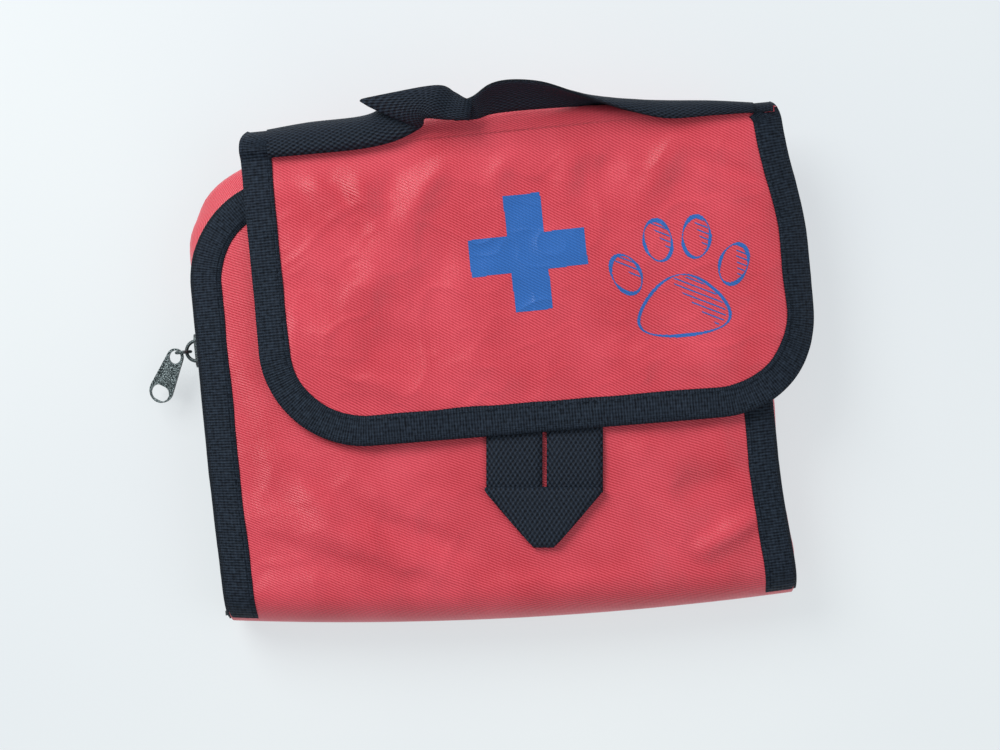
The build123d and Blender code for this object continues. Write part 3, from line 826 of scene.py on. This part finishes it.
def make_lid():
    """The wall of cloth that closes the top, from the back panel to just under the fold."""
    rows = []
    for x in spread(LID_LOW.x + EDGE_IN, LID_HIGH.x - EDGE_IN, 110):
        low = 1.2 + 14.0 * smooth((-89 - x) / 8) + 30.0 * smooth((x - (RIGHT - 8)) / 14)
        back_y, sag = lid_back(x)
        foot_y = min(back_y, corner_y(x) + 0.9)
        row = []
        for z in spread(low, LID_TOP_Z, 22):
            rise = z / LID_TOP_Z
            wave = 0.7 * rumple(x, z, 16, 12.0) * math.sin(math.pi * rise)
            y = lerp(foot_y, back_y, smooth(rise)) - 0.5 + sag * 0.55 * rise ** 2
            drawn_in = lerp(flap_edge(x, 100)[0], FOLD_MID_X, 0.034 * rise ** 3)
            row.append((drawn_in, y + wave * (1 - rise), z, *rotated_uv(x, z + 100, 70)))
        rows.append(row)
    lid = surface("lid_cloth", rows, stands_for=["lid_panel"], **RED_CLOTH)
    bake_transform(lid)


def make_flap():
    shares = spread(0, 1, 150)
    ys = spread(FLAP_LOW.y + EDGE_IN, FLAP_LOW.y + 46, 50) + spread(FLAP_LOW.y + 46, SPLIT_Y, 84)[1:]
    rows = []
    for y in ys:
        left, right = flap_sides(y)
        row = []
        for share in shares:
            x, py = flap_edge(lerp(left + EDGE_IN, right - EDGE_IN, share), y)
            row.append((x, py, flap_height(x, py), *rotated_uv(x, py, WEAVE_TURN)))
        rows.append(row)
    folds = [over_the_fold(lerp(FLAP_LOW.x + EDGE_IN, FLAP_HIGH.x - EDGE_IN, share)) for share in shares]
    first = rows[-1]
    for k in range(2, len(folds[0])):
        tuck_left = corner_tuck(folds[0][k][0], REACH_LEFT) + 0.05 * k
        tuck_right = corner_tuck(folds[-1][k][0], REACH_RIGHT) + 0.12 * k
        row = []
        for p, fold, share in zip(first, folds, shares):
            x = p[0] + lerp(tuck_left, -tuck_right, share)
            row.append((x, *fold[k], *rotated_uv(x, SPLIT_Y + 1.1 * k, WEAVE_TURN)))
        rows.append(row)
    bend(surface("flap_cloth", rows, stands_for=["flap_panel"], **RED_CLOTH))
    path = flap_path()
    bend(bound_edge("flap_binding_tape", path, tape_height, 1, FOLDED, seed=5.0,
                    stands_for=["flap_binding", "lid_bindings"], **TAPE))
    bend(stitch_row("flap_binding_stitches", path, tape_height, 1, skip=16))


def bend(obj):
    """Bakes the object's transform into its mesh and hands it back."""
    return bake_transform(obj)


# ---- prints ----
def print_patch(name, inside, reach, cell, node):
    """A thin film that lies on the flap wherever inside(x, y) is true."""
    low, high = box_mm(node)
    first_x, first_y = (low.x + high.x) / 2 - reach, (low.y + high.y) / 2 - reach
    points, faces, index = [], [], {}
    steps = int(2 * reach / cell)
    for i in range(steps):
        for j in range(steps):
            if not inside((i + 0.5) * cell - reach, (j + 0.5) * cell - reach):
                continue
            face = []
            for a, b in ((i, j), (i + 1, j), (i + 1, j + 1), (i, j + 1)):
                if (a, b) not in index:
                    index[(a, b)] = len(points)
                    x, y = first_x + a * cell, first_y + b * cell
                    z = flap_height(x, y) + CLOTH_T / 2 + 0.12
                    points.append((x, y, z, *rotated_uv(x, y, WEAVE_TURN)))
                face.append(index[(a, b)])
            faces.append(tuple(face))
    add_mesh(name, points, faces, body="flap", slot="blue_print", material=PRINT, stands_for=[node])


def in_cross(x, y):
    x, y = x + 0.02 * y, y - 0.02 * x
    return (abs(x) < 25.4 and abs(y) < 8.1) or (abs(y) < 25.4 and abs(x) < 8.1)


# The pads of a paw, the big one first: middle x and y, half width, half height, lean in degrees.
PAW = [(0, -10.2, 18.6, 13.2, 0), (-23.4, 5.4, 6, 9, 24), (-8.4, 18.6, 6, 9, 8),
       (8.4, 18.6, 6, 9, -8), (23.4, 5.4, 6, 9, -24)]


def in_paw(x, y):
    """An outlined paw with light hatching."""
    for cx, cy, rx, ry, lean in PAW:
        a = math.radians(lean)
        dx, dy = x - cx, y - cy
        px, py = dx * math.cos(a) + dy * math.sin(a), -dx * math.sin(a) + dy * math.cos(a)
        if cx == 0:
            px *= 1 + 0.18 * py / ry
            py += 0.010 * px * px
        r = math.hypot(px / rx, py / ry)
        width = 0.48 + 0.26 * math.sin(3 * math.atan2(py, px) + cx)
        if abs(r - 1) * min(rx, ry) < width:
            return True
        hatch = (x * 0.5 + y) % 2.6 < 0.6
        if r < 0.92 and hatch and px / rx + py / ry * 0.6 > 0.25:
            return True
    return False


def make_prints():
    print_patch("cross_film", in_cross, 26.5, 0.35, "cross_print")
    print_patch("paw_film", in_paw, 34, 0.3, "paw_print")


# ---- handle ----
# Points across the strap, edge, middle and edge, from its left end to the kink and from there on.
HANDLE_LEFT = [
    ((-86, 99.5, 43.4), (-86, 108.2, 43.2), (-86, 112.4, 34)),
    ((-68, 99.3, 43.6), (-68, 109.0, 43.8), (-68, 114.0, 34)),
    ((-46, 99.4, 43.9), (-47, 109.2, 45.0), (-47, 114.0, 36)),
    ((-31, 101.2, 44.4), (-35, 109.8, 46.0), (-38, 115.0, 41)),
    ((-20.5, 105.0, 45.2), (-29, 111.4, 46.8), (-36, 117.6, 45)),
    ((-17.6, 107.0, 47.6), (-30, 111.6, 50.4), (-43.5, 119.6, 50)),
    ((-17.0, 108.4, 51.0), (-21, 114.8, 54.4), (-28, 120.8, 54.0)),
    ((-14.5, 108.6, 52.4), (-12, 116.0, 55.6), (-9.4, 121.8, 53.8)),
    ((-8.0, 107.4, 51.6), (-5.4, 113.6, 53.0), (-3.0, 118.8, 50.0)),
    ((-1.0, 106.6, 52.0), (0.2, 111.2, 53.0), (1.4, 115.6, 51.2)),
    ((1.8, 106.4, 51.2), (3.0, 110.9, 51.8), (4.2, 115.0, 50.4)),
    ((1.6, 106.4, 49.4), (2.8, 110.8, 49.8), (4.0, 114.8, 48.8)),
]
HANDLE_RIGHT = [
    ((-3.0, 115.0, 48.6), (-3.6, 111.2, 48.6), (-4.2, 107.2, 47.6)),
    ((4.6, 115.6, 54.6), (4.8, 111.8, 50.4), (5.0, 107.2, 46.6)),
    ((12.5, 119.0, 60.6), (12.5, 115.4, 52.4), (12, 109.0, 44.8)),
    ((21.5, 120.0, 60.8), (22, 116.0, 52.4), (22, 109.4, 44.6)),
    ((34.0, 118.2, 59.4), (34, 115.0, 50.4), (34, 109.4, 43.4)),
    ((46.0, 113.8, 56.2), (46, 113.2, 47.6), (46, 109.6, 40.2)),
    ((58.0, 109.0, 52.6), (59, 111.4, 44.6), (59, 109.8, 36.0)),
    ((72.0, 103.8, 49.0), (72, 109.0, 43.6), (72, 109.0, 33.6)),
    ((88.0, 99.6, 45.4), (88, 106.4, 42.4), (88, 108.0, 31.0)),
    ((108.0, 99.2, 44.0), (108, 104.6, 42.0), (108, 106.2, 30.4)),
    ((125.5, 99.0, 43.2), (125.5, 102.2, 42.2), (125.5, 103.6, 33.4)),
]


def make_handle():
    """Two lengths meeting where the strap is kinked, each sewn to the lid at its far end."""
    left = ribbon("handle_strap_left", HANDLE_LEFT, stands_for=["handle_webbing"], **STRAP)
    right = ribbon("handle_strap_right", HANDLE_RIGHT, **STRAP)
    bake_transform(left)
    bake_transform(right)
    for hand, station, shift in (("left", HANDLE_LEFT[0], -8.5), ("right", HANDLE_RIGHT[-1], 8.5)):
        inner = tuple((x - shift * 0.2, y, z - 2.2) for x, y, z in station)
        outer = tuple((x + shift, y, z - 2.4) for x, y, z in station)
        pair = [outer, inner] if shift < 0 else [inner, outer]
        ribbon(f"handle_{hand}_end", pair, thick=1.2, body="lid", stands_for=[f"handle_end_{hand}"], **STRAP)


# ---- pull tab ----
TAB_TURN = -5.5
TAB_PIVOT = (24.0, -31.0)


def turn_tab(x, y):
    a = math.radians(TAB_TURN)
    dx, dy = x - TAB_PIVOT[0], y - TAB_PIVOT[1]
    x = TAB_PIVOT[0] + dx * math.cos(a) - dy * math.sin(a)
    return x, TAB_PIVOT[1] + dx * math.sin(a) + dy * math.cos(a)


TAB_X = 21.8
TAB_Z = box_mm("pull_tab")[0].z + 0.8
# Down a strip: y, and how far it stands up from the pouch's front.
STRIP_RISE = [
    (-17, 0.0), (-24, 0.0), (-30, 0.1), (-33, 0.25), (-40, 0.5), (-48, 0.3), (-54, -0.2), (-57, -0.4),
]
# Down the folded point: y, half its width, how far its top stands up.
POINT_ROWS = [
    (-54.4, 25.0, 0.6), (-54.8, 25.7, 1.9), (-56.0, 25.7, 2.5), (-58.0, 24.3, 2.5), (-64, 19.2, 2.2),
    (-72, 12.4, 2.1), (-78.5, 6.6, 1.9), (-80.2, 4.9, 1.4), (-80.9, 4.4, 0.4),
]


def tab_strip(name, x0, x1, nodes=()):
    stations = []
    for y, rise in STRIP_RISE:
        across = ((x0, rise), ((x0 + x1) / 2, rise + 0.3), (x1, rise))
        stations.append(tuple((*turn_tab(TAB_X + x, y), TAB_Z + up) for x, up in across))
    strip = ribbon(name, stations, stands_for=nodes, **STRAP)
    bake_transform(strip)


def make_tab():
    """Two strips of webbing side by side, folded across each other into a blunt point."""
    tab_strip("tab_strip_left", -25.4, -0.9, ["pull_tab", "pull_tab_sewn_ends"])
    tab_strip("tab_strip_right", 0.9, 25.4)
    rings = []
    for y, half, rise in POINT_ROWS:
        ring = []
        for share in spread(-1, 1, 15):
            across, crown = share * half, rise * (1 - 0.25 * abs(share) ** 6)
            ring.append((*turn_tab(TAB_X - 0.4 + across, y), TAB_Z + 0.8 + crown, y, across))
        for share in spread(1, -1, 15):
            across = share * half
            ring.append((*turn_tab(TAB_X - 0.4 + across * 0.99, y), TAB_Z - 0.6, y, 60 + across))
        rings.append(ring)
    tube("tab_point", rings, body="tab", **STRAP)


# ---- closure patches ----
def make_patch(name, node, body, height):
    low, high = box_mm(node)
    rows = [[(x, y, height, x, y) for x in spread(low.x, high.x, 40)] for y in spread(low.y, high.y, 14)]
    surface(name, rows, thick=0.7, body=body, slot="black_hook_loop", material=HOOK, stands_for=[node])


# ---- zipper ----
COIL_PITCH = 2.0
COIL_WIRE = 0.4  # half the thickness of the coil's wire
COIL_STEPS = 12  # points in one turn


def zip_tape(name, node):
    low, high = box_mm(node)
    ys, zs = spread(low.y, high.y, 60), spread(low.z, high.z, 8)
    rows = [[(LEFT + 0.1 + 0.1 * rumple(y, z, 6, 2.0), y, z, y, z) for z in zs] for y in ys]
    surface(name, rows, thick=0.6, body="pouch", slot="zip_tape", material=BINDING, stands_for=[node])


def zip_coil(name, node, side):
    """One row of teeth: a wire wound in a flat helix."""
    low, high = box_mm(node)
    middle, half = (low + high) / 2, (high - low) / 2
    clear = COIL_WIRE + 0.02
    curve = bpy.data.curves.new(name, "CURVE")
    curve.dimensions = "3D"
    curve.bevel_depth = COIL_WIRE * MM
    curve.bevel_resolution = 2
    curve.materials.append(COIL)
    spline = curve.splines.new("POLY")
    spline.points.add(int((high.y - low.y) / COIL_PITCH) * COIL_STEPS - 1)
    for n, point in enumerate(spline.points):
        a = 2 * math.pi * n / COIL_STEPS
        x = middle.x + (half.x - clear) * math.cos(a)
        y = low.y + 0.5 + COIL_PITCH * n / COIL_STEPS
        z = middle.z + side * (half.z - clear) * math.sin(a)
        point.co = (x * MM, y * MM, z * MM, 1)
    obj = place(name, curve)
    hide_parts(node)
    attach(obj, "pouch")


# ---- contents ----
def pillow(name, low, high, puff, slot, material, node=None, seed=0.0):
    """A soft packet that fills a box: flat edges, a crowned top and creases."""
    middle, half = (low + high) / 2, (high - low) / 2
    us, vs = spread(-1, 1, 27), spread(-1, 1, 23)
    points, faces = [], []
    for way in (1, -1):
        base = len(points)
        for v in vs:
            for u in us:
                crown = (max(0.0, 1 - abs(u) ** 6) * max(0.0, 1 - abs(v) ** 6)) ** 0.35
                x, y = middle.x + u * half.x, middle.y + v * half.y
                crease = 1 - puff * 0.12 * abs(rumple(x, y, 14, seed))
                points.append((x, y, middle.z + way * half.z * crown * crease, x, y))
        faces += [tuple(i + base for i in face[::way]) for face in grid_faces(len(vs), len(us))]
    obj = add_mesh(name, points, faces, body="pouch", slot=slot, material=material,
                   stands_for=[node] if node else [])
    fix_normals(obj, join=0.02)
    return obj


def soft_roll(name, node, slot, material, core):
    """A rolled bandage: a slightly uneven roll with its layers showing at the ends."""
    low, high = box_mm(node)
    middle, radius = (low + high) / 2, (high.z - low.z) / 2
    profile = [(low.x + 1.2, core)]
    for k, r in enumerate(spread(core, radius - 1.0, 15)):
        profile.append((low.x + (0.9 if k % 2 else 0.1), r))
    profile += [(low.x + 0.8, radius - 0.4), (low.x + 2.0, radius - 0.1)]
    profile += [(x, radius - 0.1 - 0.25 * abs(math.sin(x * 0.9))) for x in spread(low.x + 4, high.x - 4, 24)]
    profile += [(low.x + high.x - x, r) for x, r in reversed(profile[:18])]
    rings = []
    for x, r in profile:
        ring = []
        for n in range(40):
            a = 2 * math.pi * n / 40
            soft = r * (1 - 0.012 * (1 + math.sin(2 * a + 0.7)))
            ring.append((x, middle.y + soft * math.cos(a), middle.z + soft * math.sin(a), x, r * a))
        rings.append(ring)
    tube(name, rings, body="pouch", slot=slot, material=material, stands_for=[node])


def make_rolls():
    soft_roll("gauze_wide", "gauze_roll_wide", "white_gauze", GAUZE, 2.2)
    soft_roll("gauze_narrow", "gauze_roll_narrow", "white_gauze", GAUZE, 2.2)
    soft_roll("bandage_blue", "cohesive_bandage", "blue_bandage", CREPE, 4.0)


def make_soft_packet(name, node, slot, material, puff):
    low, high = box_mm(node)
    pillow(name, low, high, puff, slot, material, node, seed=len(name))


def make_thin_packets(name, node, slot, material, size, start, step, thick, count):
    """A pile of thin packets; the first stands for the whole CAD group."""
    for n in range(count):
        middle = Vector((start[0] + step[0] * n, start[1] + step[1] * n, 1.7 + thick * n))
        half = Vector((size[0] / 2, size[1] / 2, 0))
        high = middle + half + Vector((0, 0, thick - 0.05))
        pillow(f"{name}_{n + 1}", middle - half, high, 0.5, slot, material, node if n == 0 else None, seed=n)


def make_pocket():
    low, high = box_mm("inner_pocket")
    rows = []
    for y in spread(low.y + 3.0, high.y, 50):
        row = []
        for x in spread(low.x + 0.4, high.x - 0.4, 80):
            sag = 0.5 * smooth((y - 10) / 20) * abs(math.sin(x / 23))
            drop = 8.0 * (1 - smooth(min(x - low.x, high.x - x, y - low.y) / 4.5))
            row.append((x, y, high.z - 0.3 - sag - drop, x, y))
        rows.append(row)
    surface("pocket_cloth", rows, thick=0.5, body="pouch", slot="grey_lining", material=INSIDE,
            stands_for=["inner_pocket"])
    low, high = box_mm("inner_pocket_hem")
    section = [(low.y - 2.0, 10.3), (high.y, 10.2), (high.y + 0.2, 9.4), (low.y - 2.0, 9.3)]
    rings = []
    for x in spread(low.x, high.x, 60):
        sag = 0.5 * abs(math.sin(x / 23))
        rings.append([(x, y, z - sag, x, k * 2.0) for k, (y, z) in enumerate(section)])
    tube("pocket_hem_tape", rings, body="pouch", stands_for=["inner_pocket_hem"], **TAPE)


# ---- hard parts that stay as the frame has them ----
KEPT = {
    "slider_body": METAL, "slider_bail": METAL, "pull_ring": METAL, "puller": CAST,
    "zipper_top_stops": METAL, "zipper_bottom_stop": METAL, "tweezers": STEEL,
    "tape_core": CARD, "tape_roll": TAPE_WHITE,
}


def dress_kept_parts():
    for node, material in KEPT.items():
        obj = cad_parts[node]
        obj.data.materials.clear()
        obj.data.materials.append(material)
        if node in ("slider_body", "puller", "tweezers", "tape_roll"):
            bevel = obj.modifiers.new("soft_edges", "BEVEL")
            bevel.width = 0.16 * MM
            bevel.segments = 2
            bevel.limit_method = "ANGLE"
            bevel.angle_limit = math.radians(40)


# ---- stage, light and camera ----
def area_light(name, where, size, power, colour):
    """A round lamp that points at the origin."""
    data = bpy.data.lights.new(name, "AREA")
    data.shape = "DISK"
    data.size = size
    data.energy = power
    data.color = colour
    obj = place(name, data)
    obj.location = where
    obj.rotation_euler = (-Vector(where)).to_track_quat("-Z", "Y").to_euler()


def make_stage():
    m = Nodes("floor")
    coordinates = m.node("ShaderNodeTexCoord").outputs["Object"]
    colour = m.ramp(m.noise(2.5, 2.0, coordinates), (0.3, (0.245, 0.26, 0.27)), (0.7, (0.26, 0.275, 0.28)))
    m.link(colour, m.shader.inputs["Emission Color"])
    m.finish(colour, rough=0.7, Emission_Strength=2.2)
    mesh = bpy.data.meshes.new("floor")
    corners = [(x * 6.0, y * 6.0, 0) for x, y in ((-1, -1), (1, -1), (1, 1), (-1, 1))]
    mesh.from_pydata(corners, [], [(0, 1, 2, 3)])
    mesh.materials.append(m.material)
    place("floor", mesh)
    world = bpy.data.worlds.new("studio")
    world.use_nodes = True
    background = world.node_tree.nodes["Background"]
    background.inputs[0].default_value = (0.93, 0.97, 1.0, 1)
    background.inputs[1].default_value = 0.42
    bpy.context.scene.world = world
    area_light("key", (-0.6, 0.75, 0.9), 0.8, 13, (1.0, 0.99, 0.97))
    area_light("fill", (0.8, -0.2, 1.1), 1.0, 3, (0.93, 0.97, 1.0))
    bpy.context.scene.view_settings.view_transform = "Standard"


def make_camera():
    data = bpy.data.cameras.new("camera")
    plane_z, away, across = 0.040, 0.80, 0.4348
    data.sensor_width = 36
    data.lens = 36 * away / across
    camera = place("camera", data)
    camera.location = (0.0049, -0.0038, plane_z + away)
    camera.rotation_euler = (0, 0, math.radians(-5.5))
    bpy.context.scene.camera = camera


make_camera()
make_stage()
make_wrap()
make_gussets()
make_front_binding()
make_back_binding("back_tape_left", -1, "back_binding_left")
make_back_binding("back_tape_right", 1, "back_binding_right")
make_lid()
make_flap()
make_prints()
make_handle()
make_tab()
make_patch("loop_pad", "loop_patch", "pouch", 37.7)
make_patch("hook_pad", "hook_patch", "flap", 39.3)
zip_tape("zip_tape_front", "zipper_tape_front")
zip_tape("zip_tape_rear", "zipper_tape_rear")
zip_coil("zip_coil_front", "zipper_coil_front", 1)
zip_coil("zip_coil_rear", "zipper_coil_rear", -1)
make_rolls()
make_soft_packet("bandage_folded", "triangular_bandage", "white_gauze", GAUZE, 1.0)
make_soft_packet("blanket_folded", "foil_blanket", "rescue_foil", FOIL, 2.2)
make_soft_packet("gloves_packed", "glove_pack", "glove_rubber", GLOVE, 1.5)
make_thin_packets("gauze_pad", "gauze_pads", "white_paper", PAPER, (90, 90), (-60, -40), (1, -1), 1.45, 5)
make_thin_packets("wipe", "antiseptic_wipes", "sachet_foil", SACHET, (55, 75), (24, -40), (-1.2, 1.2), 1.45,
                  5)
make_thin_packets("plaster", "plaster_strips", "beige_plaster", PLASTER, (19, 74), (72, -38), (9, 0), 1.1, 3)
make_pocket()
dress_kept_parts()
